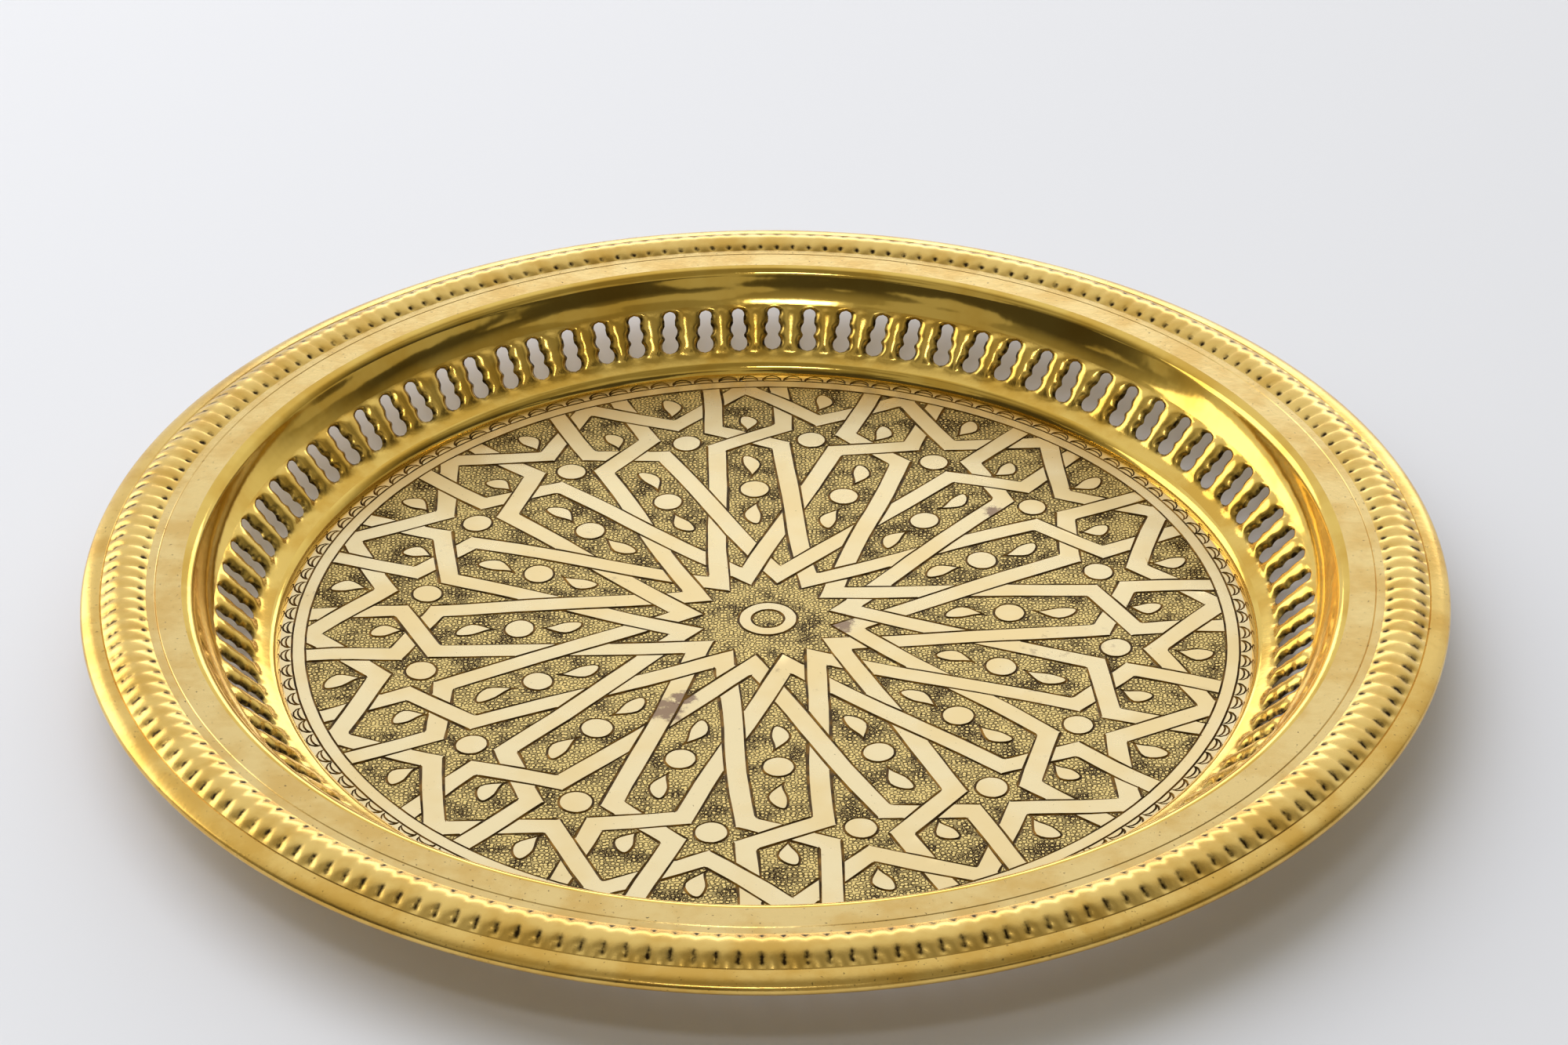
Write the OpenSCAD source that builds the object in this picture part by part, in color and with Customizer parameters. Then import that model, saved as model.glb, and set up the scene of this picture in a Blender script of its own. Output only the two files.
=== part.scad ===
// Round serving tray of thin brass sheet: flat engraved floor, low step, pierced
// gallery, cove, plain flange, fluted band and an edge rolled round a wire.
// Z = 0 is the underside of the floor, and +Z is the tray's axis.

/* [Tray] */
// Diameter over the rolled edge
tray_d = 400; // [300:5:520]
// Thickness of the brass sheet
sheet_t = 0.8; // [0.6:0.05:1.0]

/* [Step round the floor] */
// Width of the step, seen from above
step_w = 2.8; // [2.2:0.1:4]
// Height of the step above the floor
step_h = 3.8; // [2.6:0.1:5]
// Steepness of the step's riser
step_rise_angle = 78; // [65:1:85]

/* [Pierced gallery] */
// Width of the sloping gallery, seen from above
gallery_w = 15.0; // [12:0.5:19]
// Height of the sloping gallery
gallery_h = 13.6; // [10:0.2:17]
// Width of the shallow ledge at the gallery's foot
ledge_w = 3.6; // [2:0.1:5]
// Rise of that ledge
ledge_h = 1.4; // [0.8:0.1:2]
// Number of pierced slots
slot_count = 85; // [48:1:92]
// Length of a slot, along the slope
slot_l = 14.4; // [10:0.2:15.4]
// Radius of the slot's lobes, from the lowest to the topmost
slot_lobes = [2.75, 2.55, 2.2]; // [1.5:0.05:3.2]

/* [Cove and lip] */
// Width of the steep cove above the gallery, seen from above
cove_w = 4.8; // [3.5:0.1:7]
// Height of the cove
cove_h = 8.0; // [6:0.2:10]
// Steepness of the cove at its top
cove_top_angle = 68; // [60:1:75]
// Width of the rounded lip, seen from above
lip_w = 3.6; // [2.8:0.1:5]
// Height of the rounded lip
lip_h = 2.4; // [1.8:0.1:3]

/* [Flange] */
// Width of the plain flange
flange_w = 10.2; // [7:0.2:14]

// Distance of the flange's engraved line from the band
line_inset = 2.6; // [1.5:0.1:4]

/* [Fluted band] */
// Width of the half-round band, seen from above
band_w = 12.8; // [9:0.2:16]
// Height of the band above the flange
band_h = 2.2; // [1.2:0.1:3]
// Drop of the band's outer foot below its inner foot
band_drop = 0.6; // [0:0.1:1.2]

/* [Edge] */
// Width of the smooth margin and the rolled edge together
margin_w = 6.2; // [4.6:0.1:8]
// Height of the rolled edge's centre below the band's outer foot
edge_drop = 2.7; // [2.2:0.1:3.6]
// Diameter of the stiffening wire inside the rolled edge
wire_d = 1.6; // [1.2:0.1:2]
// Angle that the sheet turns round the wire
roll_angle = 240; // [200:5:255]

/* [Engraved lines] */
// Width of the plain ring round the floor's pattern
ring_w = 4.0; // [2.5:0.1:6]
// Width left outside the plain ring for the row of crescents
crescent_w = 3.5; // [2.5:0.1:5]
// Outer diameter of the round boss drawn at the centre
boss_outer_d = 17.6; // [10:0.2:26]
// Inner diameter of the round boss drawn at the centre
boss_inner_d = 9.6; // [5:0.2:14]
// Width of an engraved line
line_w = 0.5; // [0.3:0.05:0.8]
// Depth of an engraved line
line_depth = 0.25; // [0.1:0.05:0.35]

/* [Hidden] */
$fn = 180;

brass = [0.83, 0.68, 0.32];
steel = [0.55, 0.55, 0.56];

// Radii where one zone of the sheet ends and the next begins, worked inwards from the edge.
margin_r = tray_d / 2 - margin_w;
band_r = margin_r - band_w;
flange_r = band_r - flange_w;
lip_r = flange_r - lip_w;
cove_r = lip_r - cove_w;
gallery_r = cove_r - gallery_w;
floor_r = gallery_r - step_w;
ledge_r = gallery_r + ledge_w;

// Heights of the sheet's upper face at the same places.
step_z = sheet_t + step_h;
ledge_z = step_z + ledge_h;
gallery_z = step_z + gallery_h;
cove_z = gallery_z + cove_h;
flange_z = cove_z + lip_h;
margin_z = flange_z - band_drop;

ledge_angle = atan2(ledge_h, ledge_w);
gallery_angle = atan2(gallery_z - ledge_z, cove_r - ledge_r);
slot_depth = 4 * sheet_t + 2;

wire_r = wire_d / 2;
edge_r = wire_r + sheet_t;
edge_x = tray_d / 2 - edge_r;
edge_z = margin_z - edge_drop;
// Where the sheet starts to turn round the wire, measured from straight up.
roll_start = 30;

// A smooth curve from p0 to p1 that leaves at angle a0 and arrives at angle a1.
function curve(p0, a0, p1, a1, n) =
    let (reach = 0.36 * norm(p1 - p0),
         q0 = p0 + reach * [cos(a0), sin(a0)],
         q1 = p1 - reach * [cos(a1), sin(a1)])
    [for (i = [0:n]) let (u = i / n, v = 1 - u)
        v * v * v * p0 + 3 * v * v * u * q0 + 3 * v * u * u * q1 + u * u * u * p1];

// A half-round from p0 to p1 that rises h above the chord between them.
function half_round(p0, p1, h, n) =
    let (chord = p1 - p0,
         half = norm(chord) / 2,
         r = (half * half + h * h) / (2 * h),
         spread = asin(half / r),
         along = chord / (2 * half),
         up = [-along[1], along[0]],
         centre = (p0 + p1) / 2 - (r - h) * up)
    [for (i = [0:n]) let (a = spread * (2 * i / n - 1))
        centre + r * (sin(a) * along + cos(a) * up)];

function without_first(list) = [for (i = [1:len(list) - 1]) list[i]];

// The sheet's upper face from the axis to the roll, one list for each zone.
floor_top = [[0, sheet_t], [floor_r, sheet_t]];
step_top = curve([floor_r, sheet_t], step_rise_angle, [gallery_r, step_z], ledge_angle, 6);
gallery_top = [[gallery_r, step_z], [ledge_r, ledge_z], [cove_r, gallery_z]];
cove_top = curve([cove_r, gallery_z], gallery_angle, [lip_r, cove_z], cove_top_angle, 5);
lip_top = curve([lip_r, cove_z], cove_top_angle, [flange_r, flange_z], 0, 6);
flange_top = [[flange_r, flange_z], [band_r, flange_z]];
band_top = half_round([band_r, flange_z], [margin_r, margin_z], band_h, 12);
roll_point = [edge_x, edge_z] + edge_r * [sin(roll_start), cos(roll_start)];
margin_top = curve([margin_r, margin_z], -4, roll_point, -roll_start, 5);

zones = [floor_top, step_top, gallery_top, cove_top, lip_top, flange_top, band_top, margin_top];
top = concat([floor_top[0]], [for (zone = zones) each without_first(zone)]);
last = len(top) - 1;

function zone_start(k) = k == 0 ? 0 : zone_start(k - 1) + len(zones[k - 1]) - 1;

// The sheet's lower face: each point set back by the sheet's thickness, mitred at the corners.
function heading(i) =
    i < 0 ? [1, 0] :
    i >= last ? [cos(roll_start), -sin(roll_start)] :
    (top[i + 1] - top[i]) / norm(top[i + 1] - top[i]);
function normal(d) = [-d[1], d[0]];
function mitre(i) =
    let (n0 = normal(heading(i - 1)),
         n1 = normal(heading(i)),
         n = (n0 + n1) / norm(n0 + n1))
    i == last ? n1 : n / (n * n1);
under = [for (i = [0:last]) top[i] - sheet_t * mitre(i)];

// Cross-section of the sheet from one zone to another.
module sheet_section(first_zone, last_zone) {
    i0 = zone_start(first_zone);
    i1 = zone_start(last_zone + 1);
    polygon(concat([for (i = [i0:i1]) top[i]], [for (i = [i1:-1:i0]) under[i]]));
}

// A V-shaped engraved line of radius r in a face at height z.
module engraved_line(r, z) {
    rotate_extrude()
        polygon([[r - line_w / 2, z + 0.01], [r, z - line_depth], [r + line_w / 2, z + 0.01]]);
}

module engraved_floor() {
    ring_outer_r = floor_r - crescent_w;
    color(brass)
        difference() {
            rotate_extrude() sheet_section(0, 0);
            for (r = [boss_inner_d / 2, boss_outer_d / 2, ring_outer_r - ring_w, ring_outer_r])
                engraved_line(r, sheet_t);
        }
}

module floor_step() {
    color(brass) rotate_extrude() sheet_section(1, 1);
}

// One slot: three lobes in a row, joined by a narrower waist.
module slot_cutter() {
    low = slot_lobes[0] - slot_l / 2;
    high = slot_l / 2 - slot_lobes[2];
    waist = 0.78 * min(slot_lobes);
    linear_extrude(height = slot_depth, center = true)
        union() {
            translate([low, 0]) circle(r = slot_lobes[0], $fn = 36);
            translate([(low + high) / 2, 0]) circle(r = slot_lobes[1], $fn = 36);
            translate([high, 0]) circle(r = slot_lobes[2], $fn = 36);
            translate([low, -waist]) square([high - low, 2 * waist]);
        }
}

module pierced_gallery() {
    mid = [(ledge_r + cove_r) / 2, 0, (ledge_z + gallery_z - sheet_t) / 2];
    color(brass)
        difference() {
            rotate_extrude() sheet_section(2, 2);
            for (i = [0:slot_count - 1])
                rotate([0, 0, 360 * i / slot_count])
                    translate(mid)
                        rotate([0, -gallery_angle, 0])
                            slot_cutter();
        }
}

module cove_wall() {
    color(brass) rotate_extrude() sheet_section(3, 4);
}

module plain_flange() {
    color(brass)
        difference() {
            rotate_extrude() sheet_section(5, 5);
            engraved_line(band_r - line_inset, flange_z);
        }
}

module fluted_band() {
    color(brass) rotate_extrude() sheet_section(6, 6);
}

// The margin and the part of the sheet that turns round the wire, as one cross-section.
// The roll's inner face is a ring of flats that all touch the wire.
module rolled_edge() {
    flats = ceil(roll_angle / 15);
    flat_angle = roll_angle / flats;
    inner_r = wire_r / cos(flat_angle / 2);
    angles = [for (i = [0:flats]) roll_start + i * flat_angle];
    centre = [edge_x, edge_z];
    outer = [for (a = angles) centre + edge_r * [sin(a), cos(a)]];
    inner = [for (i = [flats:-1:0]) centre + inner_r * [sin(angles[i]), cos(angles[i])]];
    i0 = zone_start(7);
    color(brass)
        rotate_extrude()
            polygon(concat([for (i = [i0:last]) top[i]], without_first(outer),
                           inner, [for (i = [last - 1:-1:i0]) under[i]]));
}

module rim_wire() {
    color(steel)
        rotate_extrude()
            translate([edge_x, edge_z]) circle(r = wire_r, $fn = 48);
}

engraved_floor();
floor_step();
pierced_gallery();
cove_wall();
plain_flange();
fluted_band();
rolled_edge();
rim_wire();
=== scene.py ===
"""Round brass serving tray: engraved star, step, pierced gallery, cove, flange, fluted band, wired edge."""
import math
import random

import bpy
import numpy as np
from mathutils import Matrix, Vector
from mathutils.geometry import delaunay_2d_cdt


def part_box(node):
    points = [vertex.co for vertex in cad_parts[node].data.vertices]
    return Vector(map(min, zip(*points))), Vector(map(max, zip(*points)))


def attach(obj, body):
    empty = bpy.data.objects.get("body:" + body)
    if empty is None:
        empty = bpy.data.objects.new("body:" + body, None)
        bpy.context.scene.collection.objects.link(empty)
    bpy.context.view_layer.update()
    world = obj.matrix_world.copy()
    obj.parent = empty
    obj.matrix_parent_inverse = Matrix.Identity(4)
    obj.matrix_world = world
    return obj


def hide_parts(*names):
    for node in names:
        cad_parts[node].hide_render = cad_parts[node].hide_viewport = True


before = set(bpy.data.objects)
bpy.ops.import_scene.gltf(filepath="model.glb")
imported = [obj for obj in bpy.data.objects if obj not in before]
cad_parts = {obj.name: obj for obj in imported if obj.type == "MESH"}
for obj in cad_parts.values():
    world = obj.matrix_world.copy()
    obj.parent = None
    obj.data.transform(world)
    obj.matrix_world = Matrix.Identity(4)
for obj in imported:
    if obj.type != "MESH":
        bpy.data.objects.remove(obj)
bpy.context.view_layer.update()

MM = 0.001
SEED = 16

# ---------------------------------------------------------------- sizes, in millimetres
# The same driving sizes as the solids; the diameter and the sheet come from the frame.
TRAY_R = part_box("rolled_edge")[1].x / MM
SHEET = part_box("engraved_floor")[1].z / MM
STEP_W, STEP_H, STEP_ANGLE = 2.8, 3.8, 78.0
GALLERY_W, GALLERY_H = 15.0, 13.6
LEDGE_W, LEDGE_H = 3.6, 1.4
COVE_W, COVE_H, COVE_ANGLE = 4.8, 8.0, 68.0
LIP_W, LIP_H = 3.6, 2.4
FLANGE_W, LINE_INSET = 10.2, 2.6
BAND_W, BAND_H, BAND_DROP = 12.8, 2.2, 0.6
MARGIN_W, EDGE_DROP, MARGIN_ANGLE = 6.2, 2.7, -4.0
WIRE_R, ROLL_START, ROLL_ANGLE = 0.8, 30.0, 240.0
SLOT_COUNT, SLOT_L = 85, 14.4
FLUTE_COUNT = 211
CRESCENT_COUNT = 121
RING_W, CRESCENT_W = 4.0, 3.5
LINE_W, LINE_DEPTH = 0.5, 0.22

MARGIN_R = TRAY_R - MARGIN_W
BAND_R = MARGIN_R - BAND_W
FLANGE_R = BAND_R - FLANGE_W
LIP_R = FLANGE_R - LIP_W
COVE_R = LIP_R - COVE_W
GALLERY_R = COVE_R - GALLERY_W
FLOOR_R = GALLERY_R - STEP_W
RING_R = FLOOR_R - CRESCENT_W
STAR_R = RING_R - RING_W

STEP_Z = SHEET + STEP_H
GALLERY_Z = STEP_Z + GALLERY_H
COVE_Z = GALLERY_Z + COVE_H
FLANGE_Z = COVE_Z + LIP_H
MARGIN_Z = FLANGE_Z - BAND_DROP
LEDGE_R, LEDGE_Z = GALLERY_R + LEDGE_W, STEP_Z + LEDGE_H
LEDGE_ANGLE = math.degrees(math.atan2(LEDGE_H, LEDGE_W))
GALLERY_ANGLE = math.degrees(math.atan2(GALLERY_Z - LEDGE_Z, COVE_R - LEDGE_R))
EDGE_R = WIRE_R + SHEET
EDGE_X = TRAY_R - EDGE_R
EDGE_Z = MARGIN_Z - EDGE_DROP


def smooth(x, low, high):
    """Rises smoothly from 0 at low to 1 at high."""
    t = np.clip((x - low) / (high - low), 0.0, 1.0)
    return t * t * (3 - 2 * t)


# ---------------------------------------------------------------- materials
def linear(code):
    """An sRGB hex colour as linear RGBA."""
    values = [int(code[i:i + 2], 16) / 255 for i in (1, 3, 5)]
    return tuple(v / 12.92 if v <= 0.04045 else ((v + 0.055) / 1.055) ** 2.4 for v in values) + (1.0,)


def add(tree, kind, inputs=None, **settings):
    """Adds a node. An input is a value, or a (node, output) pair to link from."""
    made = tree.nodes.new(kind)
    for key, value in settings.items():
        setattr(made, key, value)
    for key, value in (inputs or {}).items():
        if isinstance(value, tuple) and isinstance(value[0], bpy.types.Node):
            tree.links.new(value[0].outputs[value[1]], made.inputs[key])
        else:
            made.inputs[key].default_value = value
    return made


def metal(name, roughness):
    """A metallic material and the pieces that its finish is built on."""
    material = bpy.data.materials.new(name)
    material.use_nodes = True
    tree = material.node_tree
    shader = tree.nodes["Principled BSDF"]
    shader.inputs["Metallic"].default_value = 1.0
    shader.inputs["Roughness"].default_value = roughness
    return material, tree, shader, add(tree, "ShaderNodeTexCoord")


def spread(tree, source, low, high, start=0.0, end=1.0):
    """Maps source from low..high to start..end, smoothly."""
    return add(tree, "ShaderNodeMapRange", {0: source, 1: low, 2: high, 3: start, 4: end},
               interpolation_type="SMOOTHSTEP")


def tint(tree, amount, first, second):
    """Mixes two colours, each a hex code or a (node, output) pair."""
    colours = [linear(c) if isinstance(c, str) else c for c in (first, second)]
    return add(tree, "ShaderNodeMix", {0: amount, 6: colours[0], 7: colours[1]}, data_type="RGBA")


def noise(tree, where, size_mm, detail=4.0, roughness=0.55):
    """Noise whose lumps are about size_mm across."""
    return add(tree, "ShaderNodeTexNoise", {"Vector": (where, "Object"), "Scale": 1000 / size_mm,
                                            "Detail": detail, "Roughness": roughness})


def polished_brass():
    """Yellow brass, buffed: a deep gold mirror, with faint buffing waves that soften what it reflects."""
    material, tree, shader, where = metal("buffed_yellow_brass", 0.1)
    cloud = noise(tree, where, 28)
    colour = tint(tree, (spread(tree, (cloud, 0), 0.4, 0.65), 0), "#EBC766", "#DDB24E")
    tree.links.new(colour.outputs[2], shader.inputs["Base Color"])
    wave = noise(tree, where, 9, 2.0)
    bump = add(tree, "ShaderNodeBump", {"Height": (wave, 0), "Strength": 0.12, "Distance": 0.0006})
    tree.links.new(bump.outputs[0], shader.inputs["Normal"])
    return material


# The dark mixed in as painted shade in hollows, and the colour of pits in worn metal.
SHADE_AND_PIT_DARK = "#2E2110"


def brass_with_painted_shade_and_pits(name, roughness, light, deep, pits=0.0):
    """Brass with painted shade in its hollows, where the mesh's point attribute says, and a little wear."""
    material, tree, shader, where = metal(name, roughness)
    cloud = noise(tree, where, 16)
    colour = tint(tree, (spread(tree, (cloud, 0), 0.38, 0.66), 0), light, deep)
    # Painted shade: each point's darkness, broken up by fine noise, mixes the dark colour in.
    dark = add(tree, "ShaderNodeAttribute", attribute_name="patina")
    fine = noise(tree, where, 1.8, 3.0)
    broken = add(tree, "ShaderNodeMath", {0: (dark, 2), 1: (fine, 0)}, operation="MULTIPLY")
    painted_shade_amount = spread(tree, (broken, 0), 0.1, 0.48)
    colour = tint(tree, (painted_shade_amount, 0), (colour, 2), SHADE_AND_PIT_DARK)
    if pits:
        pit = noise(tree, where, 1.1, 2.0)
        speck = spread(tree, (pit, 0), 0.66, 0.74, 0.0, pits)
        colour = tint(tree, (speck, 0), (colour, 2), SHADE_AND_PIT_DARK)
    tree.links.new(colour.outputs[2], shader.inputs["Base Color"])
    tree.links.new(spread(tree, (broken, 0), 0.1, 0.6, roughness, 0.6).outputs[0], shader.inputs["Roughness"])
    rough_skin = noise(tree, where, 2.6, 3.0)
    bump = add(tree, "ShaderNodeBump", {"Height": (rough_skin, 0), "Strength": 0.25, "Distance": 0.0002})
    tree.links.new(bump.outputs[0], shader.inputs["Normal"])
    return material


# Old spills that never scoured out: place on the floor and size, in mm.
STAINS = ((22, -2, 12), (-29, -46, 14), (-24, -40, 9), (71, 60, 8))


def engraved_brass():
    """Satin brass of the floor: scoured by wiping, with fine scratches, pin marks and a few stains."""
    material, tree, shader, where = metal("scoured_satin_brass", 0.3)
    cloud = noise(tree, where, 45)
    colour = tint(tree, (spread(tree, (cloud, 0), 0.4, 0.62), 0), "#F9E5B4", "#F1D89F")
    pin = noise(tree, where, 0.9, 2.0)
    colour = tint(tree, (spread(tree, (pin, 0), 0.7, 0.78, 0.0, 0.5), 0), (colour, 2), "#6B5328")
    patch = noise(tree, where, 60, 2.0)
    grain = noise(tree, where, 3.5, 5.0, 0.7)
    both = add(tree, "ShaderNodeMath", {0: (patch, 0), 1: (grain, 0)}, operation="MULTIPLY")
    colour = tint(tree, (spread(tree, (both, 0), 0.38, 0.48, 0.0, 0.35), 0), (colour, 2), "#7A5A4A")
    for x, y, size in STAINS:
        away = add(tree, "ShaderNodeVectorMath", {0: (where, "Object"), 1: (x * MM, y * MM, SHEET * MM)},
                   operation="DISTANCE")
        near = spread(tree, (away, "Value"), 0.0, size * MM, 1.0, 0.0)
        blot = add(tree, "ShaderNodeMath", {0: (near, 0), 1: (grain, 0)}, operation="MULTIPLY")
        colour = tint(tree, (spread(tree, (blot, 0), 0.26, 0.42, 0.0, 0.75), 0), (colour, 2), "#6E4A48")
    tree.links.new(colour.outputs[2], shader.inputs["Base Color"])
    tree.links.new(spread(tree, (cloud, 0), 0.35, 0.7, 0.24, 0.36).outputs[0], shader.inputs["Roughness"])
    turn = add(tree, "ShaderNodeMapping", {"Vector": (where, "Object"), "Rotation": (0, 0, 0.7),
                                           "Scale": (30, 1400, 1)})
    scratch = add(tree, "ShaderNodeTexNoise", {"Vector": (turn, 0), "Scale": 1.0, "Detail": 3.0})
    bump = add(tree, "ShaderNodeBump", {"Height": (scratch, 0), "Strength": 0.12, "Distance": 0.00005})
    hammer = noise(tree, where, 11, 1.5)
    bump = add(tree, "ShaderNodeBump", {"Height": (hammer, 0), "Strength": 0.12, "Distance": 0.0004,
                                        "Normal": (bump, 0)})
    tree.links.new(bump.outputs[0], shader.inputs["Normal"])
    return material


def painted_shade_in_cuts():
    """The floor of a graver's cut, coloured with painted shade: dark brown mixed with olive gold."""
    material, tree, shader, where = metal("painted_shade_in_the_cuts", 0.4)
    cloud = noise(tree, where, 5)
    colour = tint(tree, (spread(tree, (cloud, 0), 0.4, 0.62), 0), "#433010", "#7A5820")
    tree.links.new(colour.outputs[2], shader.inputs["Base Color"])
    return material


def ring_punched_brass():
    """Sunk ground covered with small rings struck by a hollow punch, with painted shade in their grooves."""
    material, tree, shader, where = metal("ring_punched_brass", 0.38)
    wander = noise(tree, where, 7, 2.0)
    shifted = add(tree, "ShaderNodeMix", {0: 0.0006, 4: (where, "Object"), 5: (wander, 1)},
                  data_type="VECTOR")
    rings = []
    for size_mm, offset in ((1.75, 0.0133), (1.5, 0.0)):
        place = add(tree, "ShaderNodeMapping", {"Vector": (shifted, 1), "Location": (offset, offset / 2, 0)})
        cell = add(tree, "ShaderNodeTexVoronoi", {"Vector": (place, 0), "Scale": 1000 / size_mm,
                                                  "Randomness": 0.55}, voronoi_dimensions="2D")
        off = add(tree, "ShaderNodeMath", {0: (cell, 0), 1: 0.42}, operation="SUBTRACT")
        away = add(tree, "ShaderNodeMath", {0: (off, 0)}, operation="ABSOLUTE")
        rings.append(spread(tree, (away, 0), 0.06, 0.15, 1.0, 0.0))
    patch = noise(tree, where, 9, 3.0)
    second = add(tree, "ShaderNodeMath", {0: (rings[0], 0), 1: (spread(tree, (patch, 0), 0.5, 0.62), 0)},
                 operation="MULTIPLY")
    struck = add(tree, "ShaderNodeMath", {0: (rings[1], 0), 1: (second, 0)}, operation="MAXIMUM")
    # The colour is also darkened between the rings, and more where they were struck close together.
    tone = spread(tree, (patch, 0), 0.35, 0.6, 0.8, 1.0)
    between = add(tree, "ShaderNodeMath", {0: (spread(tree, (cell, 0), 0.44, 0.6, 0.0, 0.75), 0),
                                           1: (spread(tree, (patch, 0), 0.3, 0.62), 0)}, operation="MULTIPLY")
    # Painted shade in the ring grooves, with the darkening between them, mixes the ground towards near black.
    shade_in_grooves_and_between = add(tree, "ShaderNodeMath", {0: (struck, 0), 1: (between, 0)}, operation="MAXIMUM")
    dark = add(tree, "ShaderNodeMath", {0: (shade_in_grooves_and_between, 0), 1: (tone, 0)}, operation="MULTIPLY")
    colour = tint(tree, (dark, 0), "#F5D98C", "#33200A")
    tree.links.new(colour.outputs[2], shader.inputs["Base Color"])
    tree.links.new(spread(tree, (struck, 0), 0.0, 1.0, 0.36, 0.6).outputs[0], shader.inputs["Roughness"])
    bump = add(tree, "ShaderNodeBump", {"Height": (struck, 0), "Strength": 0.7, "Distance": 0.00012},
               invert=True)
    tree.links.new(bump.outputs[0], shader.inputs["Normal"])
    return material


def underside_brass():
    """The back of the sheet, never polished: duller, browner, with scale marks."""
    material, tree, shader, where = metal("unpolished_underside_brass", 0.42)
    cloud = noise(tree, where, 30, 5.0)
    colour = tint(tree, (spread(tree, (cloud, 0), 0.38, 0.62), 0), "#C2A25C", "#AD8E4A")
    tree.links.new(colour.outputs[2], shader.inputs["Base Color"])
    return material


def drawn_steel():
    """Soft iron wire inside the rolled edge."""
    material, _, shader, _ = metal("drawn_steel_wire", 0.38)
    shader.inputs["Base Color"].default_value = linear("#A3A19C")
    return material


polished = polished_brass()
satin = engraved_brass()
cuts = painted_shade_in_cuts()
punched = ring_punched_brass()
underside = underside_brass()
pierced = brass_with_painted_shade_and_pits("pierced_and_bossed_brass", 0.2, "#EAC668", "#DBAF4C")
fluted = brass_with_painted_shade_and_pits("fluted_brass", 0.26, "#EBC874", "#DAB057")
flange_finish = brass_with_painted_shade_and_pits("pitted_satin_brass", 0.27, "#E9CC88", "#DDB86C", pits=0.8)
edge_finish = brass_with_painted_shade_and_pits("rubbed_edge_brass", 0.24, "#E8C470", "#D9AE55", pits=0.5)
wire_finish = drawn_steel()


# ---------------------------------------------------------------- modelling helpers
def clear_selection():
    if bpy.context.object and bpy.context.object.mode != "OBJECT":
        bpy.ops.object.mode_set(mode="OBJECT")
    bpy.ops.object.select_all(action="DESELECT")


def lathe(name, outline, steps=360):
    """Spins a closed outline of (radius, height) points, in mm, round the tray's axis."""
    clear_selection()
    bpy.ops.mesh.primitive_circle_add(vertices=len(outline), radius=MM, fill_type="NOTHING")
    piece = bpy.context.object
    piece.name = piece.data.name = name
    for vertex, (r, z) in zip(piece.data.vertices, outline):
        vertex.co = (r * MM, 0, z * MM)
    bpy.ops.object.mode_set(mode="EDIT")
    bpy.ops.mesh.select_all(action="SELECT")
    bpy.ops.mesh.spin(steps=steps, angle=math.tau, center=(0, 0, 0), axis=(0, 0, 1), use_auto_merge=True)
    bpy.ops.mesh.select_all(action="SELECT")
    bpy.ops.mesh.remove_doubles(threshold=1e-6)
    bpy.ops.mesh.normals_make_consistent(inside=False)
    bpy.ops.object.mode_set(mode="OBJECT")
    bpy.ops.object.shade_smooth_by_angle(angle=math.radians(32))
    return piece


def curve(p0, a0, p1, a1, steps):
    """A smooth curve from p0 to p1 that leaves at angle a0 and arrives at angle a1."""
    p0, p1 = np.array(p0, float), np.array(p1, float)
    reach = 0.36 * np.linalg.norm(p1 - p0)
    q0 = p0 + reach * np.array([math.cos(math.radians(a0)), math.sin(math.radians(a0))])
    q1 = p1 - reach * np.array([math.cos(math.radians(a1)), math.sin(math.radians(a1))])
    points = []
    for i in range(steps + 1):
        u = i / steps
        v = 1 - u
        points.append(v ** 3 * p0 + 3 * v * v * u * q0 + 3 * v * u * u * q1 + u ** 3 * p1)
    return points


def half_round(p0, p1, height, steps):
    """A half-round from p0 to p1 that rises height above the chord between them."""
    p0, p1 = np.array(p0, float), np.array(p1, float)
    half = np.linalg.norm(p1 - p0) / 2
    radius = (half * half + height * height) / (2 * height)
    spread_angle = math.asin(half / radius)
    along = (p1 - p0) / (2 * half)
    up = np.array([-along[1], along[0]])
    centre = (p0 + p1) / 2 - (radius - height) * up
    angles = [spread_angle * (2 * i / steps - 1) for i in range(steps + 1)]
    return [centre + radius * (math.sin(a) * along + math.cos(a) * up) for a in angles]


def set_back(points, before, after):
    """The sheet's lower face under points; before and after are the sheet's headings at the two ends."""
    units = [np.array(before, float)]
    units += [(b - a) / np.linalg.norm(b - a) for a, b in zip(points, points[1:])]
    units.append(np.array(after, float))
    under = []
    for point, d0, d1 in zip(points, units, units[1:]):
        n0 = np.array([-d0[1], d0[0]])
        n1 = np.array([-d1[1], d1[0]])
        n = (n0 + n1) / np.linalg.norm(n0 + n1)
        under.append(point - SHEET * n / n.dot(n1))
    return under


def direction(angle):
    return math.cos(math.radians(angle)), math.sin(math.radians(angle))


def sheet_outline(points, before, after):
    """The closed outline of a stretch of sheet under the given upper face."""
    return list(points) + set_back(points, before, after)[::-1]


# The half-round's slope at its feet.
_half = math.hypot(BAND_W, BAND_DROP) / 2
BAND_FOOT_ANGLE = math.degrees(math.asin(_half / ((_half ** 2 + BAND_H ** 2) / (2 * BAND_H))))
BAND_TILT = math.degrees(math.atan2(-BAND_DROP, BAND_W))


def wrap_mesh(name, points, faces, patina=None):
    """A mesh from points in mm and faces, with an optional darkness value for each point."""
    mesh = bpy.data.meshes.new(name)
    mesh.from_pydata([tuple(p) for p in np.asarray(points) * MM], [], faces)
    mesh.validate()
    piece = bpy.data.objects.new(name, mesh)
    bpy.context.scene.collection.objects.link(piece)
    if patina is not None:
        darkness = mesh.attributes.new("patina", "FLOAT", "POINT")
        darkness.data.foreach_set("value", np.asarray(patina, np.float32))
    return piece


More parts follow.
